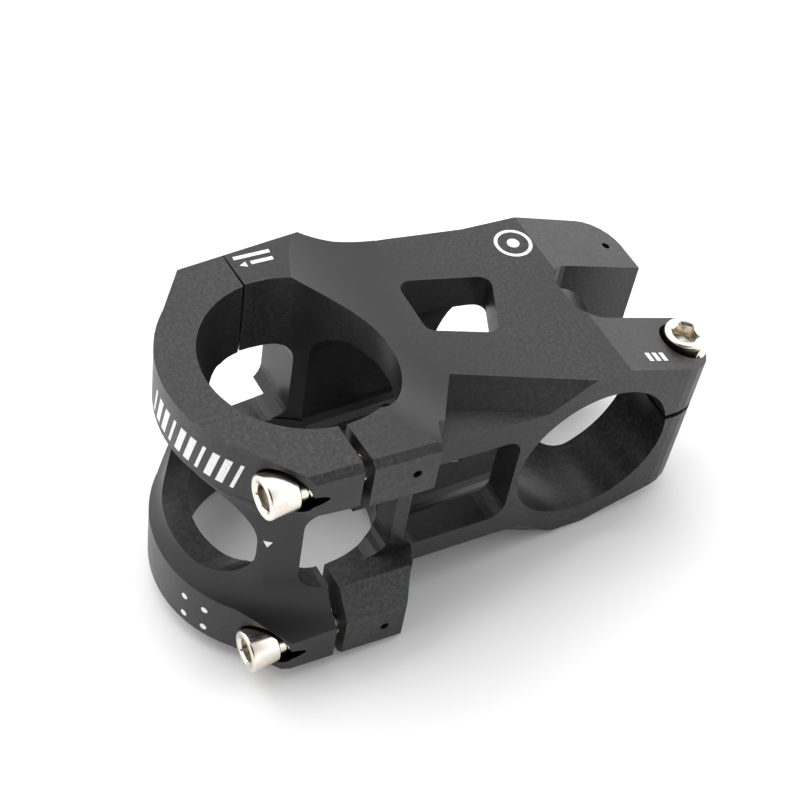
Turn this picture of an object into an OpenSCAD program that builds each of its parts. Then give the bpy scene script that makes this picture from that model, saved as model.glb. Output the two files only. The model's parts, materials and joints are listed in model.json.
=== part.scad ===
// Short handlebar stem with a four-bolt bar clamp and a two-bolt steerer clamp.
// Z is the handlebar axis, Y is the steerer axis, X runs from the bar to the steerer.
// The origin is the centre of the handlebar bore. Millimetres.

/* [Clamp bores] */
// Diameter of the handlebar clamp bore
bar_d = 31.8; // [28:0.1:35]
// Diameter of the steerer clamp bore
steerer_d = 28.6; // [25.4:0.1:30]
// Distance from the bar axis to the steerer axis
reach = 48; // [44:0.5:70]
// Height of the steerer clamp's middle above the bar axis
rise = 2; // [0:0.5:4]
// Length of the steerer clamp between its end faces
stack_h = 38.6; // [36:0.1:46]

/* [Bar clamp] */
// Width of the bar clamp along the bar
clamp_w = 48.8; // [44:0.1:60]
// Tilt of the bar clamp bolts from the steerer clamp's faces, degrees
clamp_tilt = 2.4; // [0:0.1:5]
// Wall between the bar bore and the outer faces of the ears
ear_wall = 8.6; // [8:0.1:11]
// Sweep of the outer faces of the ears, degrees
ear_sweep = 3.7; // [0:0.1:5]
// Thickness of the faceplate at its front
face_wall = 6.3; // [5:0.1:9]
// Width of each of the two clamping bands
band_w = 14.8; // [12.5:0.1:17]
// Relief of the bore between the two bands, so that only the bands grip the bar
relief = 0.25; // [0.1:0.05:0.5]
// Distance of the split face in front of the bar axis
split_front = 1.3; // [0:0.1:2]
// Turn of the split face from the bolts' square, degrees
split_turn = 2.4; // [0:0.1:4]
// Split gap at the closed side
gap_closed = 0.15; // [0.1:0.05:0.5]
// Split gap at the open side
gap_open = 1.6; // [0.5:0.1:3]
// Distance from the bar axis to the ears' rear corners
ear_back = 10.5; // [9.5:0.1:12]
// Distance from the bar axis to the faceplate's shoulders
shoulder_x = 9.6; // [8:0.1:11]
// Distance from the bar axis to the seats of the faceplate bolts
seat_x = 5; // [4:0.1:7]

/* [Body] */
// Thickness of the body over the steerer bore
body_wall = 5; // [4:0.1:7]
// Radius of the scooped flank between the clamp and the body
flank_r = 26; // [20:1:40]
// Slope of the pinch lobes, degrees
lobe_slope = 18; // [10:1:22]
// Width of the notch between the pinch lobes
notch_w = 13.2; // [10:0.1:15]
// Width of the pinch slits
slit_w = 1.1; // [0.8:0.1:1.6]
// Height of the pinch slits above the middle of the stem
slit_z = 3.8; // [2.5:0.1:5]
// Height of the pinch bolts' seats above the middle of the stem
pinch_seat = 10.8; // [9:0.1:12]
// Distance of the pinch bolts from the steerer clamp's end faces
pinch_inset = 6.8; // [5.5:0.1:8]

/* [Bolts] */
// Thread diameter of the bolts
bolt_d = 5; // [4:0.5:5]
// Diameter of the bolt heads at the rim
head_d = 7.2; // [7:0.1:8.5]
// Height of the bolt heads
head_h = 5; // [4:0.1:6]
// Size of the hexagon socket across flats
socket_af = 4; // [3:0.5:4]
// Length of the faceplate bolts under the head
face_bolt_l = 15; // [14:1:16]
// Length of the pinch bolts under the head
pinch_bolt_l = 18; // [16:1:20]
// Distance that the faceplate bolt heads at the open side of the split stand off their seats
open_proud = 6.1; // [1:0.1:7]
// Distance that the faceplate bolt heads at the closed side of the split stand off their seats
closed_proud = 0.1; // [0.1:0.1:2]
// Distance that the pinch bolt heads stand off their seats
pinch_proud = 0.6; // [0:0.1:2]
// Wall between the bolt holes and the clamp bores
bolt_wall = 1.7; // [1.5:0.1:2.5]
// Radial clearance of a bolt in its hole
bolt_gap = 0.05; // [0.02:0.01:0.09]

/* [Hidden] */
$fn = 96;
far_cut = 60;
bar_r = bar_d / 2;
steerer_r = steerer_d / 2;
bolt_r = bolt_d / 2;
hole_r = bolt_r + bolt_gap;
head_r = head_d / 2;
clamp_half = clamp_w / 2;
ear_y = bar_r + ear_wall;
gap_tilt = atan((gap_open - gap_closed) / (2 * ear_y));
band_in = clamp_half - band_w;
band_mid = clamp_half - band_w * 0.33;
bar_bolt_y = bar_r + bolt_wall + hole_r;
pinch_x = reach + steerer_r + bolt_wall + hole_r;
pinch_y = stack_h / 2 - pinch_inset;
body_top = steerer_r + body_wall;
slope_x = reach + 2.6;
rear_x = pinch_x + hole_r + 1.2;
rear_corner = 6.5;
near_y = rise - stack_h / 2;
far_y = rise + stack_h / 2;
cavity_half = steerer_r - 1.3;
cavity_corner = 5.5;
win_corner = 2;
vent_d = 1.5;
vent_x = 7;
seat_gap = 0.7;
face_seat_gap = 0.3;
hole_extra = 0.6;
web_step = 2.4;
web_flat = 8;
web_blend = 8.7;
block_front = -5;
lead_in = 0.06;
bevel_y = 3.6;
bevel_z = 5.4;
edge_bevel = 1.1;
bar_hole_end = face_bolt_l - seat_x + hole_extra;
metal_black = [0.14, 0.14, 0.15];
bolt_silver = [0.78, 0.76, 0.73];

// Points of a closed outline with every corner rounded to radius r in n steps
function rounded(pts, r, n = 6) = [
    for (i = [0 : len(pts) - 1])
    let (
        p = pts[i],
        a = pts[(i + len(pts) - 1) % len(pts)] - p,
        b = pts[(i + 1) % len(pts)] - p,
        ua = a / norm(a),
        ub = b / norm(b),
        half = acos(ua * ub) / 2,
        mid = (ua + ub) / norm(ua + ub),
        c = p + mid * r / sin(half),
        start = p + ua * r / tan(half) - c,
        stop = p + ub * r / tan(half) - c,
        a0 = atan2(start[1], start[0]),
        turn = atan2(stop[1], stop[0]) - a0,
        sweep = turn > 180 ? turn - 360 : turn < -180 ? turn + 360 : turn
    )
    for (k = [0 : n])
    c + r * [cos(a0 + sweep * k / n), sin(a0 + sweep * k / n)]
];

// Turns its children into the bar clamp's own tilted frame
module in_clamp() {
    rotate([0, 0, clamp_tilt]) children();
}

module both_y() {
    children();
    mirror([0, 1, 0]) children();
}

module both_z() {
    children();
    mirror([0, 0, 1]) children();
}

// Width of the ears' outer faces at a place x along the clamp
function ear_edge(x) = ear_y + x * tan(ear_sweep);

// Outline of the clamp half that belongs to the stem, seen along the bar
module clamp_block_outline() {
    polygon([
        [block_front, -ear_edge(block_front)],
        [ear_back, -ear_edge(ear_back)],
        [ear_back + 6, -bar_r + 2],
        [ear_back + 6, bar_r],
        [ear_back, ear_edge(ear_back)],
        [block_front, ear_edge(block_front)]
    ]);
}

// Outline of the rest of the body, seen along the bar
module beam_outline() {
    ear_far = ear_edge(ear_back);
    polygon([
        [6, -bar_r],
        [ear_back + 5.3, near_y],
        [rear_x - rear_corner, near_y],
        for (a = [-90 : 15 : 0])
            [rear_x - rear_corner, near_y + rear_corner] + rear_corner * [cos(a), sin(a)],
        for (a = [0 : 15 : 90])
            [rear_x - rear_corner, far_y - rear_corner] + rear_corner * [cos(a), sin(a)],
        [reach - 8, far_y + 0.3],
        [reach * 0.54, far_y + 2.2],
        [reach * 0.35, far_y + 2.9],
        [ear_back - 1.2, ear_far + 0.3],
        [6, bar_r]
    ]);
}

// Upper surface of the stem: scooped flank, flat top and sloping pinch lobes
module top_limit() {
    slope_end = rear_x + 10;
    intersection() {
        translate([reach, rise, 0]) rotate_extrude($fn = 180) difference() {
            square([2 * reach, clamp_half]);
            flank_cut();
        }
        translate([0, far_cut, 0]) rotate([90, 0, 0]) linear_extrude(2 * far_cut) polygon([
            [-far_cut, 0],
            [-far_cut, far_cut],
            [ear_back + 14, far_cut],
            [ear_back + 14, body_top],
            [slope_x, body_top],
            [slope_end, body_top - (slope_end - slope_x) * tan(lobe_slope)],
            [slope_end, 0]
        ]);
    }
}

// The flank is an arc that starts level with the body's top and rises to the clamp's side
module flank_cut() {
    rise_h = clamp_half - body_top;
    run = sqrt(flank_r * flank_r - (flank_r - rise_h) * (flank_r - rise_h));
    edge = norm([reach - 5.2, rise - bar_r]);
    translate([edge - run, body_top + flank_r]) circle(flank_r, $fn = 160);
    translate([0, body_top]) square([edge - run, far_cut]);
}

module stem_blank() {
    intersection() {
        union() {
            translate([0, 0, -clamp_half]) linear_extrude(clamp_w) beam_outline();
            in_clamp() translate([0, 0, -clamp_half]) linear_extrude(clamp_w) clamp_block_outline();
        }
        both_z() top_limit();
    }
}

// Bevels along the ears' outer faces: wide beside the opening, narrow at the clamp's sides
module ear_bevels(from_x, to_x) {
    both_z() both_y() {
        translate([0, ear_y, band_in]) rotate([0, 0, ear_sweep])
            bevel_bar(from_x, to_x, bevel_y, bevel_z);
        translate([0, ear_y, clamp_half]) rotate([0, 0, ear_sweep]) mirror([0, 0, 1])
            bevel_bar(from_x, to_x, edge_bevel, edge_bevel);
    }
}

// Takes a bevel of the given sizes off the edge that runs along its own X axis
module bevel_bar(from_x, to_x, size_y, size_z) {
    over = 1;
    slope = size_z / size_y;
    translate([from_x, 0, 0]) rotate([90, 0, 90]) linear_extrude(to_x - from_x)
        polygon([[-size_y - over / slope, -over], [over, -over], [over, size_z + over * slope]]);
}

module bar_bore() {
    relief_half = band_in - 0.4;
    translate([0, 0, -far_cut]) cylinder(r = bar_r, h = 2 * far_cut, $fn = 180);
    translate([0, 0, -relief_half]) cylinder(r = bar_r + relief, h = 2 * relief_half, $fn = 180);
}

// Opening between the two bands beside the split, a box with rounded corners
module side_opening(front_x, back_x) {
    half = band_in;
    corner = 4;
    rotate([90, 0, 0]) translate([0, 0, bar_r * 0.55]) linear_extrude(far_cut)
        polygon(rounded([[front_x, -half], [back_x, -half], [back_x, half], [front_x, half]], corner));
}

module side_openings() {
    side_opening(-7, 10);
    mirror([0, 1, 0]) side_opening(-8, 7.4);
}

// Moves its children to the split face, which they then fill or cut along their own Y axis
module at_split() {
    translate([-split_front, 0, 0]) rotate([0, 0, split_turn]) children();
}

// What the stem loses in front of the split face, with a lead-in that lets the bar pass
module stem_front() {
    at_split() translate([-far_cut, -far_cut, -far_cut]) cube([far_cut, 2 * far_cut, 2 * far_cut]);
    translate([-far_cut, -bar_r - lead_in, -far_cut]) cube([far_cut, 2 * (bar_r + lead_in), 2 * far_cut]);
}

// What the faceplate loses behind its own side of the gap
module faceplate_back() {
    at_split() translate([-gap_closed, ear_y, -far_cut]) rotate([0, 0, -gap_tilt])
        translate([0, -2 * far_cut, 0]) cube([far_cut, 3 * far_cut, 2 * far_cut]);
}

// Holes for the four faceplate bolts
module face_bolt_places() {
    for (side = [-1, 1], level = [-1, 1])
        translate([0, side * bar_bolt_y, level * band_mid]) children();
}

module face_bolt_holes(from_x, to_x) {
    face_bolt_places() translate([from_x, 0, 0]) rotate([0, 90, 0]) cylinder(r = hole_r, h = to_x - from_x);
}

// Pockets that lighten the beam on its lower side, above and below the side window
module flank_pocket() {
    floor_z = body_top - 5;
    wall_turn = -22.7;
    both_z() intersection() {
        translate([0, -far_cut, floor_z]) cube([far_cut, 2 * far_cut, far_cut]);
        translate([reach - 4.7, near_y + 0.4, body_top]) rotate([0, 0, wall_turn]) rotate([-31, 0, 0])
            translate([-far_cut, -far_cut, -far_cut / 2]) cube([2 * far_cut, far_cut, far_cut]);
        translate([ear_back + 1.1, -ear_edge(ear_back) + 0.4, -far_cut]) rotate([0, 0, 57.7])
            translate([-far_cut, -far_cut, 0]) cube([2 * far_cut, far_cut, 2 * far_cut]);
    }
}

// The cavity that joins the bar bore to the steerer bore
module cavity() {
    in_clamp() rotate([90, 0, 90]) linear_extrude(reach) polygon(rounded(
        [[-cavity_half, -cavity_half], [cavity_half, -cavity_half],
         [cavity_half, cavity_half], [-cavity_half, cavity_half]], cavity_corner));
}

// Window through the lower side wall
module side_window() {
    left = ear_back + 2.9;
    right = reach - steerer_r - 1.2;
    half = band_in;
    rotate([90, 0, 0]) linear_extrude(far_cut)
        polygon(rounded([[left, -half], [right, -half], [right, half], [left, half]], 3));
}

// Window through both broad sides
module broad_window() {
    left = bar_r + 7.4;
    right = reach - steerer_r + 5.6;
    translate([0, 0, -far_cut]) linear_extrude(2 * far_cut) polygon(rounded([
        [left, rise - 0.3], [right - 5, rise - 4.6], [right, rise + 7.6], [left, rise + 11.6]
    ], win_corner));
}

module notch() {
    half = notch_w / 2;
    start = reach + 1.2;
    translate([0, rise, -far_cut]) linear_extrude(2 * far_cut)
        polygon(rounded([[start, -half], [rear_x + 20, -half], [rear_x + 20, half], [start, half]], 4.5));
}

// Slit, bolt hole, head seat and vent of one pinch lobe, for a bolt that goes in from above
module pinch_cuts() {
    lobe = (stack_h - notch_w) / 2;
    translate([reach, -stack_h / 2 - 1, slit_z - slit_w / 2]) cube([rear_x, lobe + 2, slit_w]);
    translate([pinch_x, -pinch_y, 0]) {
        translate([0, 0, pinch_seat - pinch_bolt_l - 0.4]) cylinder(r = hole_r, h = pinch_bolt_l + 1);
        translate([0, 0, pinch_seat]) cylinder(r = head_r + seat_gap, h = far_cut);
        translate([0, 0, -far_cut]) cylinder(d = vent_d, h = far_cut);
    }
}

module at_pinch(side) {
    translate([0, rise, 0]) rotate([side > 0 ? 180 : 0, 0, 0]) children();
}

module stem_body() {
    color(metal_black) difference() {
        stem_blank();
        bar_bore();
        translate([reach, rise, 0]) rotate([90, 0, 0]) translate([0, 0, -far_cut])
            cylinder(r = steerer_r, h = 2 * far_cut, $fn = 180);
        translate([0, -far_cut, -band_in]) cube([ear_back + 8, far_cut + near_y, 2 * band_in]);
        in_clamp() {
            stem_front();
            ear_bevels(block_front - 1, ear_back + 8);
            side_openings();
            face_bolt_holes(block_front - 1, bar_hole_end);
            both_y() both_z() translate([vent_x, bar_bolt_y, band_mid]) rotate([-90, 0, 0])
                cylinder(d = vent_d, h = far_cut);
        }
        cavity();
        side_window();
        broad_window();
        flank_pocket();
        notch();
        for (side = [-1, 1]) at_pinch(side) pinch_cuts();
    }
}

// Faceplate before its cuts: a round front of radius outer between two flat shoulders
module faceplate_blank(outer) {
    turn = 44;
    front = -outer * cos(turn);
    side = outer * sin(turn);
    edge = ear_edge(-shoulder_x);
    translate([0, 0, -clamp_half]) cylinder(r = outer, h = clamp_w, $fn = 180);
    translate([0, 0, -clamp_half]) linear_extrude(clamp_w) polygon([
        [6, ear_edge(6)], [-shoulder_x, edge], [front, side],
        [front, -side], [-shoulder_x, -edge], [6, -ear_edge(6)]
    ]);
}

module faceplate() {
    outer = bar_r + face_wall;
    color(metal_black) in_clamp() difference() {
        faceplate_blank(outer);
        web_recess(outer - web_step);
        bar_bore();
        faceplate_back();
        ear_bevels(-30, 10);
        side_openings();
        face_bolt_holes(-far_cut, 5);
        face_bolt_places() translate([-far_cut, 0, 0]) rotate([0, 90, 0])
            cylinder(r = head_r + face_seat_gap, h = far_cut - seat_x);
        face_window();
    }
}

// The web between the two bands is thinner than the bands and blends into them
module web_recess(inner) {
    rotate_extrude($fn = 180) {
        translate([inner, -web_flat]) square([far_cut, 2 * web_flat]);
        translate([inner + web_blend, web_flat]) circle(web_blend);
        translate([inner + web_blend, -web_flat]) circle(web_blend);
    }
}

// Window through the front of the faceplate
module face_window() {
    half_y = 15;
    half_z = 10.5;
    corner = 9;
    translate([-far_cut, 0, 0]) rotate([90, 0, 90]) linear_extrude(far_cut - 6) polygon(rounded(
        [[-half_y, -half_z], [half_y, -half_z], [half_y, half_z], [-half_y, half_z]], corner, 10));
}

// A bolt along Z with its head above z = 0 and its thread below
module bolt(length) {
    base_r = head_r - 0.35;
    color(bolt_silver) difference() {
        rotate_extrude($fn = 72) polygon([
            [0, -length],
            [bolt_r - 0.6, -length],
            [bolt_r, -length + 0.6],
            [bolt_r, 0],
            [base_r - 0.3, 0],
            [base_r, 0.3],
            [head_r, head_h - 0.4],
            [head_r - 0.4, head_h],
            [0, head_h]
        ]);
        translate([0, 0, head_h - 2.8]) rotate([0, 0, 30]) cylinder(d = socket_af / cos(30), h = 4, $fn = 6);
    }
}

// One faceplate bolt: side -1 is the open side of the split, level 1 is the upper band
module face_bolt(side, level) {
    proud = side > 0 ? closed_proud : open_proud;
    in_clamp() translate([-seat_x - proud, side * bar_bolt_y, level * band_mid])
        rotate([0, -90, 0]) bolt(face_bolt_l);
}

module pinch_bolt(side) {
    at_pinch(side) translate([pinch_x, -pinch_y, pinch_seat + pinch_proud]) bolt(pinch_bolt_l);
}

module face_bolt_top_left() {
    face_bolt(1, 1);
}

module face_bolt_top_right() {
    face_bolt(-1, 1);
}

module face_bolt_bottom_left() {
    face_bolt(1, -1);
}

module face_bolt_bottom_right() {
    face_bolt(-1, -1);
}

module pinch_bolt_upper() {
    pinch_bolt(1);
}

module pinch_bolt_lower() {
    pinch_bolt(-1);
}

stem_body();
faceplate();
face_bolt_top_left();
face_bolt_top_right();
face_bolt_bottom_left();
face_bolt_bottom_right();
pinch_bolt_upper();
pinch_bolt_lower();
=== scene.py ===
import json
import math

import bmesh
import bpy
from mathutils import Matrix, Vector


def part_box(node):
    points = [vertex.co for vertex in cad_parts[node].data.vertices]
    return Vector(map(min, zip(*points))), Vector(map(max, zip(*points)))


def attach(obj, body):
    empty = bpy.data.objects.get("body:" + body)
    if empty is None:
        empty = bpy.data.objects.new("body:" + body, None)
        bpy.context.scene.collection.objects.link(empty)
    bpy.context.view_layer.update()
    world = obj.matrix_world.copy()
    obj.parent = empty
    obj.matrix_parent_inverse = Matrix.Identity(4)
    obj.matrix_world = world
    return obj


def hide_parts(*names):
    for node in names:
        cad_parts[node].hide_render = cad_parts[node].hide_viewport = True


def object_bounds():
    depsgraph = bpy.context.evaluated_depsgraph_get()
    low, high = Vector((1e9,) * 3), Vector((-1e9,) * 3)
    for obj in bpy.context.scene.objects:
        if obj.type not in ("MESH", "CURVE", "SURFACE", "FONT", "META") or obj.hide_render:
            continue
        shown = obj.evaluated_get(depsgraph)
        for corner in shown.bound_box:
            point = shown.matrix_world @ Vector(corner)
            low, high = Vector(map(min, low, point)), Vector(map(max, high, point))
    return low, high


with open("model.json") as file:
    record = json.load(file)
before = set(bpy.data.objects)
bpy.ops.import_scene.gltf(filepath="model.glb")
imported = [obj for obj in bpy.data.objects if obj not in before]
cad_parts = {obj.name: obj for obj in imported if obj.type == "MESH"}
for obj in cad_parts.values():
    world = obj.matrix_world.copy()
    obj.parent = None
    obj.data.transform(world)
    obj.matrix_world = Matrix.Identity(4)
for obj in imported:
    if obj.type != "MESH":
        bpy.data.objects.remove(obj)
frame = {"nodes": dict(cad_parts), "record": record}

cadBox = [list(corner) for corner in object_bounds()]
nodes = frame["nodes"]
record = frame["record"]
mountPlace = {m["name"]: Vector(m["pos_m"]) for m in record["mounts"]}
mountRadius = {m["name"]: m["dims"]["r_mm"] / 1000 for m in record["mounts"]}
jointOf = {j["child"]: j for j in record["behaviour"]["joints"]}
barCentre = mountPlace["bar_clamp"]
steererCentre = mountPlace["steerer_clamp"]
outward = Vector(jointOf["faceplate"]["axis"])  # the way the faceplate comes off
across = Vector((0, 0, 1)).cross(-outward)  # from the open side of the split to the closed side
mm = 0.001
print("frame loaded with", len(nodes), "nodes")


def pieceOf(name, work, material):
    # turns a finished bmesh into a piece with one material
    mesh = bpy.data.meshes.new(name)
    work.to_mesh(mesh)
    work.free()
    mesh.materials.append(material)
    piece = bpy.data.objects.new(name, mesh)
    bpy.context.scene.collection.objects.link(piece)
    return piece


# small helpers for the node trees

def newMaterial(name):
    material = bpy.data.materials.new(name)
    material.use_nodes = True
    material.node_tree.nodes.clear()
    return material, material.node_tree


def noiseOf(tree, place, scale, detail=4.0, rough=0.55):
    noise = tree.nodes.new("ShaderNodeTexNoise")
    noise.inputs["Scale"].default_value = scale
    noise.inputs["Detail"].default_value = detail
    noise.inputs["Roughness"].default_value = rough
    tree.links.new(place, noise.inputs["Vector"])
    return noise.outputs["Fac"]


def rampOf(tree, value, stops):
    ramp = tree.nodes.new("ShaderNodeValToRGB")
    elements = ramp.color_ramp.elements
    while len(elements) < len(stops):
        elements.new(0.5)
    for element, (position, colour) in zip(elements, stops):
        element.position = position
        element.color = (*colour, 1)
    tree.links.new(value, ramp.inputs["Fac"])
    return ramp.outputs["Color"]


def spreadOf(tree, value, low, high, fromLow=0.0, fromHigh=1.0):
    span = tree.nodes.new("ShaderNodeMapRange")
    span.inputs["From Min"].default_value = fromLow
    span.inputs["From Max"].default_value = fromHigh
    span.inputs["To Min"].default_value = low
    span.inputs["To Max"].default_value = high
    tree.links.new(value, span.inputs["Value"])
    return span.outputs["Result"]


def mathOf(tree, way, first, second=0.0):
    node = tree.nodes.new("ShaderNodeMath")
    node.operation = way
    for socket, source in zip(node.inputs, (first, second)):
        if isinstance(source, (int, float)):
            socket.default_value = source
        else:
            tree.links.new(source, socket)
    return node.outputs["Value"]


def blendOf(tree, factor, first, second):
    mix = tree.nodes.new("ShaderNodeMixRGB")
    tree.links.new(factor, mix.inputs["Fac"])
    for socket, source in ((mix.inputs["Color1"], first), (mix.inputs["Color2"], second)):
        if isinstance(source, tuple):
            socket.default_value = (*source, 1)
        else:
            tree.links.new(source, socket)
    return mix.outputs["Color"]


def bumpOf(tree, height, depth, strength=1.0, under=None):
    bump = tree.nodes.new("ShaderNodeBump")
    bump.inputs["Strength"].default_value = strength
    bump.inputs["Distance"].default_value = depth
    tree.links.new(height, bump.inputs["Height"])
    if under is not None:
        tree.links.new(under, bump.inputs["Normal"])
    return bump.outputs["Normal"]


def shaderOf(tree, **values):
    shader = tree.nodes.new("ShaderNodeBsdfPrincipled")
    out = tree.nodes.new("ShaderNodeOutputMaterial")
    tree.links.new(shader.outputs["BSDF"], out.inputs["Surface"])
    for name, value in values.items():
        socket = shader.inputs[name.replace("_", " ")]
        if isinstance(value, (int, float)):
            socket.default_value = value
        elif isinstance(value, tuple):
            socket.default_value = (*value, 1)
        else:
            tree.links.new(value, socket)
    return shader


def splitPlace(tree, place):
    parts = tree.nodes.new("ShaderNodeSeparateXYZ")
    tree.links.new(place, parts.inputs["Vector"])
    return parts.outputs["X"], parts.outputs["Y"], parts.outputs["Z"]


def lengthOf(tree, first, second):
    squares = [mathOf(tree, "POWER", part, 2.0) for part in (first, second)]
    return mathOf(tree, "SQRT", mathOf(tree, "ADD", *squares))


def closeTo(tree, value, target, width):
    # 1 where value is at the target, falling to 0 at the given width from it
    gap = mathOf(tree, "ABSOLUTE", mathOf(tree, "SUBTRACT", value, target))
    return spreadOf(tree, gap, 1.0, 0.0, 0.0, width)


# anodised black aluminium, blasted outside and bored inside

anodised = {
    "dark": (0.0038, 0.0038, 0.0044),
    "light": (0.0080, 0.0080, 0.0090),
    "worn": (0.075, 0.075, 0.078),
    "roughLow": 0.30,
    "roughHigh": 0.42,
    "grainScale": 5200.0,
    "grainDepth": 0.000012,
    "cloudScale": 70.0,
    "speckScale": 1400.0,
    "speckRough": 0.05,
    "edgeWear": 0.5,
    "boreSkin": 0.12 * mm,
    "borePolish": 0.06,
    "boreLineScale": 9000.0,
    "boreLineDepth": 0.000006,
    "gloss": 0.38,
}


def anodisedBlack(name, seed):
    a = anodised
    material, tree = newMaterial(name)
    coordinates = tree.nodes.new("ShaderNodeTexCoord")
    place = coordinates.outputs["Object"]
    x, y, z = splitPlace(tree, place)
    shifted = tree.nodes.new("ShaderNodeMapping")
    shifted.inputs["Location"].default_value = (seed * 0.37, seed * 0.19, seed * 0.53)
    tree.links.new(place, shifted.inputs["Vector"])
    cloud = noiseOf(tree, shifted.outputs["Vector"], a["cloudScale"], 5.0, 0.6)
    grain = noiseOf(tree, shifted.outputs["Vector"], a["grainScale"], 2.0, 0.6)
    speck = noiseOf(tree, shifted.outputs["Vector"], a["speckScale"], 3.0, 0.7)

    # how near the point is to the wall of each bore
    barWall = closeTo(tree, lengthOf(tree, x, y), mountRadius["bar_clamp"], a["boreSkin"])
    dx = mathOf(tree, "SUBTRACT", x, steererCentre.x)
    steererWall = closeTo(tree, lengthOf(tree, dx, z), mountRadius["steerer_clamp"], a["boreSkin"])
    barLines = mathOf(tree, "SINE", mathOf(tree, "MULTIPLY", z, a["boreLineScale"]))
    steererLines = mathOf(tree, "SINE", mathOf(tree, "MULTIPLY", y, a["boreLineScale"]))
    lines = mathOf(tree, "ADD", mathOf(tree, "MULTIPLY", barLines, barWall),
                   mathOf(tree, "MULTIPLY", steererLines, steererWall))

    # handling marks: the thin anodised layer shows lighter on the sharpest edges
    geometry = tree.nodes.new("ShaderNodeNewGeometry")
    edge = spreadOf(tree, geometry.outputs["Pointiness"], 0.0, 1.0, 0.53, 0.66)
    wear = mathOf(tree, "MULTIPLY", edge, spreadOf(tree, speck, 0.0, 1.0, 0.42, 0.75))

    base = rampOf(tree, cloud, [(0.32, a["dark"]), (0.68, a["light"])])
    colour = blendOf(tree, mathOf(tree, "MULTIPLY", wear, a["edgeWear"]), base, a["worn"])
    roughCloud = spreadOf(tree, cloud, a["roughLow"], a["roughHigh"], 0.3, 0.7)
    speckled = mathOf(tree, "ADD", roughCloud, mathOf(tree, "MULTIPLY", speck, a["speckRough"]))
    polish = mathOf(tree, "MULTIPLY", mathOf(tree, "ADD", barWall, steererWall), a["borePolish"])
    roughness = mathOf(tree, "SUBTRACT", speckled, polish)
    grainNormal = bumpOf(tree, grain, a["grainDepth"], 0.55)
    normal = bumpOf(tree, lines, a["boreLineDepth"], 0.5, grainNormal)
    shaderOf(tree, Base_Color=colour, Roughness=roughness, Normal=normal, Specular_IOR_Level=a["gloss"])
    return material


# bright plated steel for the bolts

plated = {
    "light": (0.84, 0.795, 0.715),
    "dark": (0.62, 0.57, 0.485),
    "roughLow": 0.12,
    "roughHigh": 0.24,
    "cloudScale": 260.0,
    "scratchScale": 2600.0,
    "scratchDepth": 0.000010,
}


def platedSteel(name, seed):
    p = plated
    material, tree = newMaterial(name)
    coordinates = tree.nodes.new("ShaderNodeTexCoord")
    shifted = tree.nodes.new("ShaderNodeMapping")
    shifted.inputs["Location"].default_value = (seed * 0.71, seed * 0.29, seed * 0.43)
    tree.links.new(coordinates.outputs["Object"], shifted.inputs["Vector"])
    cloud = noiseOf(tree, shifted.outputs["Vector"], p["cloudScale"], 5.0, 0.65)
    scratch = noiseOf(tree, shifted.outputs["Vector"], p["scratchScale"], 3.0, 0.6)
    colour = rampOf(tree, cloud, [(0.30, p["dark"]), (0.62, p["light"])])
    roughness = spreadOf(tree, cloud, p["roughHigh"], p["roughLow"], 0.3, 0.7)
    normal = bumpOf(tree, scratch, p["scratchDepth"], 0.6)
    shaderOf(tree, Base_Color=colour, Metallic=1.0, Roughness=roughness, Normal=normal)
    return material


# white ink of the plain marks

ink = {"fresh": (0.78, 0.78, 0.77), "thin": (0.50, 0.50, 0.50), "scale": 2400.0}


def markInk(name):
    material, tree = newMaterial(name)
    coordinates = tree.nodes.new("ShaderNodeTexCoord")
    cover = noiseOf(tree, coordinates.outputs["Object"], ink["scale"], 4.0, 0.6)
    colour = rampOf(tree, cover, [(0.30, ink["thin"]), (0.46, ink["fresh"])])
    roughness = spreadOf(tree, cover, 0.62, 0.48)
    normal = bumpOf(tree, cover, 0.00001, 0.4)
    shaderOf(tree, Base_Color=colour, Roughness=roughness, Normal=normal)
    return material


for seed, name in enumerate(("stem_body", "faceplate")):
    mesh = nodes[name].data
    mesh.materials.clear()
    mesh.materials.append(anodisedBlack("anodisedBlack_" + name, seed + 1))
markMaterial = markInk("markInk")
print("stem body and faceplate coated")


# bolts: rounded taper head, hexagon socket, rolled thread

boltSize = {
    "headRadius": 3.6 * mm,
    "neckRadius": 3.25 * mm,
    "headHeight": 5.0 * mm,
    "topRound": 0.45 * mm,
    "footRound": 0.3 * mm,
    "socketAcross": 4.0 * mm,
    "socketDepth": 2.8 * mm,
    "threadRadius": 2.5 * mm,
    "threadDepth": 0.36 * mm,
    "pitch": 0.8 * mm,
    "plainLength": 1.2 * mm,
    "sides": 72,
}


def hexRadius(angle, across):
    return across / 2 / math.cos((angle % (math.pi / 3)) - math.pi / 6)


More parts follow.
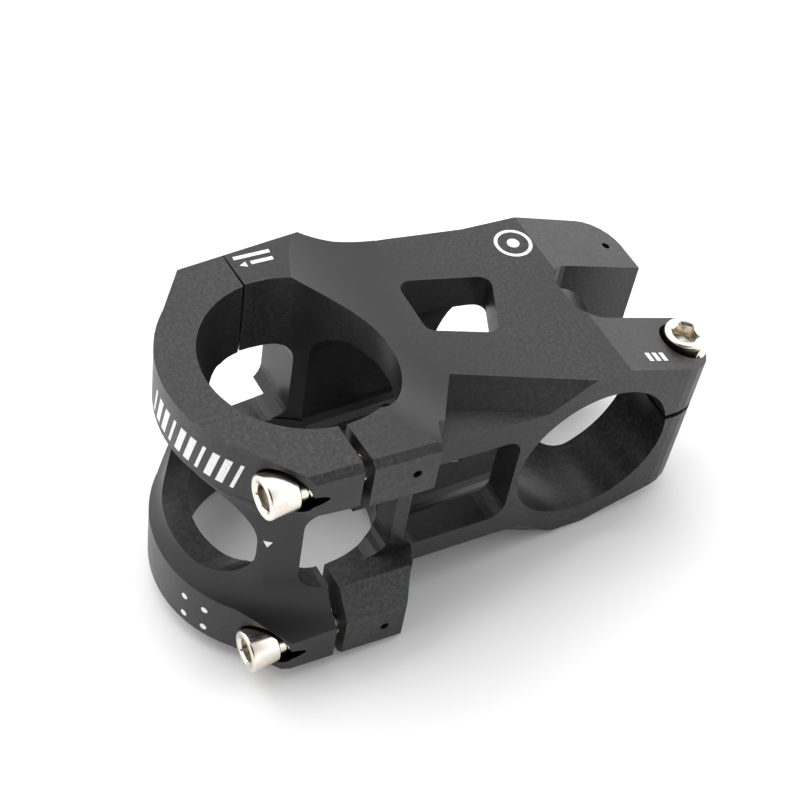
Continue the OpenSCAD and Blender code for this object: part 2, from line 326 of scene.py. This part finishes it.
def boltRings(length):
    # each ring is a function of the turn: it gives the radius and the height there
    b = boltSize
    rings = []

    def ring(radius, height):
        rings.append(lambda turn, r=radius, h=height: (r, h))

    ring(0.0002, -length)
    ring(b["threadRadius"] - 0.75 * mm, -length)
    steps = int((length - b["plainLength"] - 0.5 * mm) / (b["pitch"] / 8))
    for i in range(steps + 1):
        height = -length + 0.5 * mm + i * b["pitch"] / 8

        def threadRing(turn, h=height, fade=min(1.0, (steps - i) / 8), start=min(1.0, i / 6)):
            wave = ((h / b["pitch"] - turn / (2 * math.pi)) % 1.0)
            crest = min(1.0, max(0.0, 2.6 * abs(wave - 0.5) - 0.12))
            radius = b["threadRadius"] - b["threadDepth"] * crest * fade
            return radius - (1 - start) * 0.35 * mm, h
        rings.append(threadRing)
    ring(b["threadRadius"] - 0.02 * mm, -b["plainLength"] + 0.1 * mm)
    ring(b["threadRadius"] - 0.02 * mm, -0.12 * mm)
    ring(b["threadRadius"] + 0.03 * mm, 0.0)
    ring(b["neckRadius"] - b["footRound"], 0.0)
    for i in range(1, 5):
        turn = i / 4 * math.pi / 2
        ring(b["neckRadius"] - b["footRound"] * (1 - math.sin(turn)), b["footRound"] * (1 - math.cos(turn)))
    ring((b["neckRadius"] + b["headRadius"]) / 2, b["headHeight"] / 2)
    for i in range(0, 7):
        turn = i / 6 * math.pi / 2
        ring(b["headRadius"] - b["topRound"] * (1 - math.cos(turn)),
             b["headHeight"] - b["topRound"] * (1 - math.sin(turn)))
    ring(b["socketAcross"] / 2 + 0.62 * mm, b["headHeight"])
    ring(b["socketAcross"] / 2 + 0.46 * mm, b["headHeight"] - 0.08 * mm)
    for drop in (0.42 * mm, 0.6 * mm, b["socketDepth"]):
        rings.append(lambda turn, d=drop: (hexRadius(turn, b["socketAcross"]), b["headHeight"] - d))
    ring(b["socketAcross"] / 2 - 0.35 * mm, b["headHeight"] - b["socketDepth"] - 0.1 * mm)
    ring(0.0002, b["headHeight"] - b["socketDepth"] - 0.75 * mm)
    return rings


def makeBolt(name, seat, along, length, spin, seed):
    # along points from the tip to the head; seat is the centre of the head's underside
    b = boltSize
    side = along.orthogonal().normalized()
    turned = Matrix((side, along.cross(side), along)).transposed()
    work = bmesh.new()
    loops = []
    for ringAt in boltRings(length):
        loop = []
        for k in range(b["sides"]):
            turn = 2 * math.pi * k / b["sides"]
            radius, height = ringAt(turn)
            local = Vector((radius * math.cos(turn + spin), radius * math.sin(turn + spin), height))
            loop.append(work.verts.new(seat + turned @ local))
        loops.append(loop)
    for low, high in zip(loops, loops[1:]):
        for k in range(b["sides"]):
            n = (k + 1) % b["sides"]
            work.faces.new((low[k], low[n], high[n], high[k]))
    work.faces.new(list(reversed(loops[0])))
    work.faces.new(loops[-1])
    bmesh.ops.recalc_face_normals(work, faces=work.faces)
    for face in work.faces:
        face.smooth = True
    for edge in work.edges:
        edge.smooth = edge.calc_face_angle(0) < math.radians(34)
    return pieceOf(name, work, platedSteel("platedSteel_" + name, seed))


def boltLine(name):
    # seat, direction and length of a bolt from its own node and joint
    joint = jointOf[name]
    axis = Vector(joint["axis"]).normalized()
    point = Vector(joint["pos_m"])
    along = axis if name == "pinch_bolt_lower" else -axis
    reaches = [(v.co - point).dot(along) for v in nodes[name].data.vertices]
    seat = point + along * (max(reaches) - boltSize["headHeight"])
    return seat, along, max(reaches) - min(reaches) - boltSize["headHeight"]


boltNames = [name for name in nodes if "bolt" in name]
for seed, name in enumerate(sorted(boltNames)):
    seat, along, length = boltLine(name)
    bolt = makeBolt("detailed_" + name, seat, along, length, 0.2 + 0.37 * seed, seed + 1)
    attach(bolt, name)
    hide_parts(name)
print("bolts made:", len(boltNames))


# plain marks: thin patches of ink that follow the surface they are on

marks = {
    "thick": 0.05 * mm,
    "sunk": 0.03 * mm,
    "slopeStart": 2.6,
    "bandBarWidth": 1.25,
    "bandBarThin": 0.6,
    "bandBarHeight": 5.6,
    "bandBarStep": 2.15,
    "bandBars": 10,
    "bandSlant": 1.5,
    "bandFirstTurn": 170.0,
    "bandMiddle": 18.2,
    "faceWall": 6.3,
    "webWall": 3.9,
    "wallOverBore": 5 * mm,
    "lobeSlope": 18.0,
    "dotTurn": 205.0,
    "dotMiddle": -20.2,
    "dotRadius": 0.62,
    "dotSpread": (2.1, 2.3),
    "arrowTurn": 234.0,
    "arrowMiddle": 1.6,
    "arrowSize": 0.9,
    "gapLineRows": ((1.0, 21.9, 6.2), (2.1, 20.2, 3.8)),
    "gapLineWidth": 0.75,
    "gapPointer": (-1.0, 20.1, 0.75),
    "ringPlace": (-1.0, 13.6),
    "ringRadius": 3.35,
    "ringLine": 0.62,
    "ringDot": 1.1,
    "lobeSide": -16.2,
    "lobeBarPlaces": (6.2, 7.8, 9.4),
    "lobeBarSize": (0.95, 1.9),
}


def flatPlace(origin, right, up):
    out = right.cross(up)
    return lambda u, v, h: origin + right * (u * mm) + up * (v * mm) + out * h


def roundPlace(radius, firstTurn, middle):
    # u runs round the bar axis from a start turn in degrees, v along the bar
    inward = -outward

    def place(u, v, h):
        turn = math.radians(firstTurn) + u / radius
        spoke = inward * math.cos(turn) + across * math.sin(turn)
        return barCentre + spoke * (radius * mm + h) + Vector((0, 0, (middle + v) * mm))
    return place


def addPatch(work, place, shape, stepsU, stepsV):
    # shape takes s and t from 0 to 1 and gives u and v in millimetres
    grid = []
    for level in (-marks["sunk"], marks["thick"]):
        grid.append([[work.verts.new(place(*shape(i / stepsU, j / stepsV), level))
                      for j in range(stepsV + 1)] for i in range(stepsU + 1)])
    low, high = grid
    for i in range(stepsU):
        for j in range(stepsV):
            work.faces.new((high[i][j], high[i + 1][j], high[i + 1][j + 1], high[i][j + 1]))
            work.faces.new((low[i][j], low[i][j + 1], low[i + 1][j + 1], low[i + 1][j]))
    rim = [(i, 0) for i in range(stepsU)] + [(stepsU, j) for j in range(stepsV)]
    rim += [(i, stepsV) for i in range(stepsU, 0, -1)] + [(0, j) for j in range(stepsV, 0, -1)]
    for (i, j), (k, l) in zip(rim, rim[1:] + rim[:1]):
        work.faces.new((low[i][j], low[k][l], high[k][l], high[i][j]))


def barShape(u, v, width, height, slant=0.0):
    return lambda s, t: (u + (s - 0.5) * width + (t - 0.5) * slant, v + (t - 0.5) * height)


def ringShape(u, v, inner, outer):
    def shape(s, t):
        radius = inner + (outer - inner) * t
        turn = -2 * math.pi * s
        return u + radius * math.cos(turn), v + radius * math.sin(turn)
    return shape


def triangleShape(u, v, size, pointing):
    # a triangle whose tip points along the given turn
    tip, left, right = [
        (u + size * math.cos(pointing + turn), v + size * math.sin(pointing + turn))
        for turn in (0.0, 2.2, -2.2)
    ]
    return lambda s, t: (
        (tip[0] * (1 - s) + s * (left[0] * (1 - t) + right[0] * t)),
        (tip[1] * (1 - s) + s * (left[1] * (1 - t) + right[1] * t)),
    )


def makeMark(name, body, place, shapes):
    work = bmesh.new()
    for shape, stepsU, stepsV in shapes:
        addPatch(work, place, shape, stepsU, stepsV)
    bmesh.ops.remove_doubles(work, verts=work.verts, dist=0.000004)
    bmesh.ops.dissolve_degenerate(work, edges=work.edges, dist=0.000004)
    bmesh.ops.recalc_face_normals(work, faces=work.faces)
    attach(pieceOf(name, work, markMaterial), body)


m = marks
bandRadius = mountRadius["bar_clamp"] / mm + m["faceWall"]
webRadius = mountRadius["bar_clamp"] / mm + m["webWall"]
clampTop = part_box("stem_body")[1].z
bodyTop = steererCentre.z + mountRadius["steerer_clamp"] + m["wallOverBore"]
flatX, flatY = Vector((1, 0, 0)), Vector((0, 1, 0))

# front of the upper band: a row of slanted bars, every third one thin
makeMark("bandBars", "faceplate", roundPlace(bandRadius, m["bandFirstTurn"], m["bandMiddle"]), [
    (barShape(i * m["bandBarStep"], 0, m["bandBarWidth"] if i % 3 else m["bandBarThin"],
              m["bandBarHeight"], m["bandSlant"]), 3, 6)
    for i in range(m["bandBars"])])

# front of the lower band: four dots at the corners of a square
spreadU, spreadV = m["dotSpread"]
makeMark("bandDots", "faceplate", roundPlace(bandRadius, m["dotTurn"], m["dotMiddle"]), [
    (ringShape(u, v, 0.0, m["dotRadius"]), 20, 1)
    for u in (-spreadU, spreadU) for v in (-spreadV, spreadV)])

# web beside the front window: a small triangle
makeMark("webArrow", "faceplate", roundPlace(webRadius, m["arrowTurn"], m["arrowMiddle"]), [
    (triangleShape(0, 0, m["arrowSize"], -math.pi / 2), 4, 4)])

# side of the clamp by the closed gap: two lines and a pointer
pointer = triangleShape(*m["gapPointer"], math.pi)
makeMark("gapLines", "stem", flatPlace(Vector((0, 0, clampTop)), flatX, flatY), [
    (barShape(u, v, width, m["gapLineWidth"]), 1, 1) for u, v, width in m["gapLineRows"]] + [(pointer, 2, 2)])

# flat top over the steerer clamp: a plain ring with a dot
ringX, ringY = (part * mm for part in m["ringPlace"])
ringCentre = Vector((steererCentre.x + ringX, steererCentre.y + ringY, bodyTop))
makeMark("topRing", "stem", flatPlace(ringCentre, flatX, flatY), [
    (ringShape(0, 0, m["ringRadius"] - m["ringLine"], m["ringRadius"]), 48, 1),
    (ringShape(0, 0, 0.0, m["ringDot"]), 24, 1)])

# sloping lobe by the near pinch bolt: three short bars
slope = math.radians(m["lobeSlope"])
downSlope = Vector((math.cos(slope), 0, -math.sin(slope)))
slopeEdge = steererCentre.x + m["slopeStart"] * mm
lobePoint = Vector((slopeEdge, steererCentre.y + m["lobeSide"] * mm, bodyTop))
makeMark("lobeBars", "stem", flatPlace(lobePoint, downSlope, flatY), [
    (barShape(u, 0, *m["lobeBarSize"]), 1, 1) for u in m["lobeBarPlaces"]])
print("marks made")


# floor, light and camera

studio = {
    "floorTilt": 6.8,
    "floorHalf": 1.6,
    "floorSquares": 8,
    "floorColour": (0.95, 0.95, 0.95),
    "surround": 1.9,
    "darkest": 0.01,
    "keyPower": 3.0,
    "keySize": 0.9,
    "keyPlace": (-0.25, 0.35, 0.75),
}


def makeFloor():
    # the stem rests on the rear edge of the bar clamp and on the underside of the steerer clamp
    material, tree = newMaterial("paleFloor")
    coordinates = tree.nodes.new("ShaderNodeTexCoord")
    cloud = noiseOf(tree, coordinates.outputs["Object"], 3.0, 2.0, 0.5)
    shade = studio["floorColour"]
    colour = rampOf(tree, cloud, [(0.3, tuple(c * 0.995 for c in shade)), (0.7, shade)])
    shaderOf(tree, Base_Color=colour, Roughness=0.9, Specular_IOR_Level=0.1)
    tilt = math.radians(studio["floorTilt"])
    rest = Vector((slopeEdge, 0, -bodyTop))
    slideX, slideY = Vector((math.cos(tilt), 0, math.sin(tilt))), Vector((0, 1, 0))
    lift = slideX.cross(slideY)
    deepest = min((v.co - rest).dot(lift) for v in nodes["stem_body"].data.vertices)
    rest += lift * (deepest - 0.02 * mm)
    work = bmesh.new()
    count = studio["floorSquares"]
    steps = [studio["floorHalf"] * (2 * i / count - 1) for i in range(count + 1)]
    grid = [[work.verts.new(rest + slideX * u + slideY * v) for v in steps] for u in steps]
    for i in range(count):
        for j in range(count):
            work.faces.new((grid[i][j], grid[i + 1][j], grid[i + 1][j + 1], grid[i][j + 1]))
    pieceOf("floor", work, material)


makeFloor()

shot = {
    "azimuth": -34.66,
    "elevation": 46.68,
    "roll": 11.05,
    "away": 0.2715,
    "lens": 72.2,
    "aim": (22.65 * mm, 4.62 * mm, 0.0),
}


def makeCamera():
    turn, lift, roll = (math.radians(shot[k]) for k in ("azimuth", "elevation", "roll"))
    back = Vector((math.sin(turn) * math.cos(lift), -math.cos(turn) * math.cos(lift), math.sin(lift)))
    level = Vector((math.cos(turn), math.sin(turn), 0))
    steep = back.cross(level)
    right = level * math.cos(roll) + steep * math.sin(roll)
    up = steep * math.cos(roll) - level * math.sin(roll)
    data = bpy.data.cameras.new("camera")
    data.sensor_width = 36
    data.lens = shot["lens"]
    data.clip_start = 0.01
    data.clip_end = 20
    camera = bpy.data.objects.new("camera", data)
    bpy.context.scene.collection.objects.link(camera)
    matrix = Matrix((right, up, back)).transposed().to_4x4()
    matrix.translation = Vector(shot["aim"]) + back * shot["away"]
    camera.matrix_world = matrix
    bpy.context.scene.camera = camera
    return back


toCamera = makeCamera()


def makeSurround():
    # a white room with a dark patch on the side that the picture is taken from
    world = bpy.data.worlds.new("studio")
    bpy.context.scene.world = world
    world.use_nodes = True
    tree = world.node_tree
    tree.nodes.clear()
    coordinates = tree.nodes.new("ShaderNodeTexCoord")
    facing = tree.nodes.new("ShaderNodeVectorMath")
    facing.operation = "DOT_PRODUCT"
    tree.links.new(coordinates.outputs["Generated"], facing.inputs[0])
    facing.inputs[1].default_value = toCamera
    dark = studio["darkest"]
    tone = rampOf(tree, facing.outputs["Value"], [
        (0.0, (1, 1, 1)), (0.5, (0.95, 0.95, 0.95)), (0.78, (0.45, 0.45, 0.46)), (0.93, (dark, dark, dark))])
    sky = tree.nodes.new("ShaderNodeBackground")
    sky.inputs["Strength"].default_value = studio["surround"]
    tree.links.new(tone, sky.inputs["Color"])
    out = tree.nodes.new("ShaderNodeOutputWorld")
    tree.links.new(sky.outputs["Background"], out.inputs["Surface"])


def makeLight(name, place, target, size, power):
    data = bpy.data.lights.new(name, "AREA")
    data.shape = "DISK"
    data.size = size
    data.energy = power
    light = bpy.data.objects.new(name, data)
    bpy.context.scene.collection.objects.link(light)
    light.location = place
    light.rotation_mode = "QUATERNION"
    light.rotation_quaternion = (target - place).to_track_quat("-Z", "Y")


makeSurround()
middle = Vector([(a + b) / 2 for a, b in zip(*cadBox)])
keyPlace = middle + Vector(studio["keyPlace"])
makeLight("keyLight", keyPlace, middle, studio["keySize"], studio["keyPower"])
view = bpy.context.scene.view_settings
view.view_transform = "Standard"
view.look = "None"
view.exposure = 0.0
view.gamma = 1.0
print("floor, light and camera ready")
